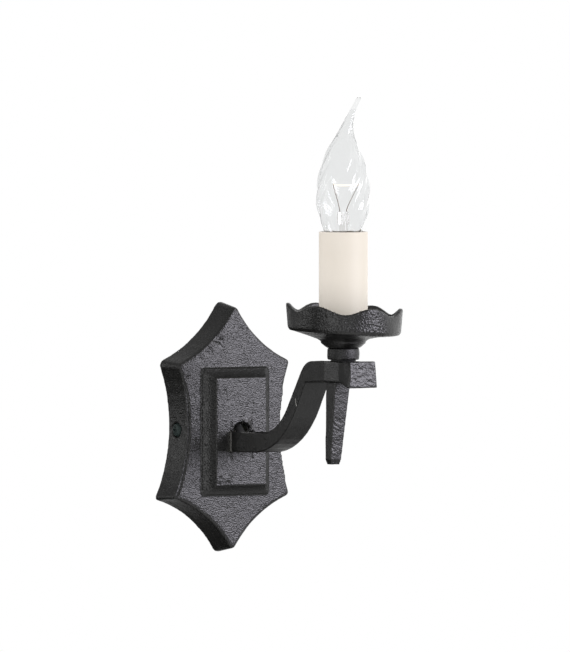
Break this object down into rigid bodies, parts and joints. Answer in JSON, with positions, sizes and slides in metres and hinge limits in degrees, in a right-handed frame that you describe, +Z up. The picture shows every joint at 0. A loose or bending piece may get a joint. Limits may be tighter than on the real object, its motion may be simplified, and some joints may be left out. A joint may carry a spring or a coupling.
{
  "type": "torch sconce",
  "caption": "Black iron wall sconce: shaped backplate, channel arm with a drop spike, scalloped drip pan and one screw-in candle lamp in a cream tube.",
  "frame": {"origin": "middle of the two wall screws, on the wall plane behind the backplate", "axes": "+Z up, +Y into the wall, so the sconce stands out from the wall towards -Y; +X to the right as seen facing the wall"},
  "size_m": [0.0896, 0.1958, 0.294],
  "materials": {
    "iron": "black lacquered cast iron with a fine sand-cast grain",
    "zinc_plate": "zinc-plated steel, satin",
    "side_screw_steel": "dark olive passivated steel",
    "brass": "plain turned brass",
    "bronze": "phosphor bronze spring strip",
    "seat_gasket": "black fibre washer",
    "holder_resin": "off-white heat-resistant resin",
    "block_resin": "white polyamide",
    "candle_cream": "cream candle tube, satin",
    "clear_glass": "clear spirally fluted glass",
    "stem_glass": "clear lead glass",
    "cap_metal": "nickel-plated rolled brass",
    "black_glass": "black vitreous insulator",
    "solder": "dull solder",
    "nickel_wire": "nickel wire",
    "tungsten": null,
    "flex_black": "black sheathed lead, satin",
    "core_insulation": "coloured single-core insulation"
  },
  "bodies": {
    "fixture": {"wall_bracket": "zinc_plate", "earth_screw": "brass", "side_screws": "side_screw_steel", "backplate": "iron", "arm": "iron", "arm_lugs": "zinc_plate", "arm_bolt": "zinc_plate", "arm_nut": "zinc_plate", "drop_spike": "iron", "spike_screw": "zinc_plate", "seat_washer": "seat_gasket", "collar": "iron", "drip_pan": "iron", "lock_washer": "zinc_plate", "pan_nut": "brass", "threaded_nipple": "zinc_plate", "holder_strap": "zinc_plate", "holder_base": "holder_resin", "holder_screws": "zinc_plate", "holder_body": "holder_resin", "screw_shell": "brass", "centre_contact": "bronze", "flex": "flex_black", "lamp_cores": "core_insulation", "supply_cores": "core_insulation", "terminal_block": "block_resin", "terminal_screws": "zinc_plate", "block_screw": "zinc_plate"},
    "candle_sleeve": {"candle_tube": "candle_cream"},
    "lamp": {"bulb_glass": "clear_glass", "bulb_stem": "stem_glass", "bulb_cap": "cap_metal", "bulb_insulator": "black_glass", "bulb_contact": "solder", "support_wires": "nickel_wire", "filament": "tungsten"}
  },
  "joints": [
    {"name": "lamp_turn", "type": "hinge", "parent": "fixture", "child": "lamp", "pos_m": [0, -0.1586, 0.1], "axis": [0, 0, 1], "range_deg": [0, 1260]},
    {"name": "sleeve_lift", "type": "slide", "parent": "fixture", "child": "candle_sleeve", "axis": [0, 0, 1], "range_m": [0, 0.003]}
  ]
}
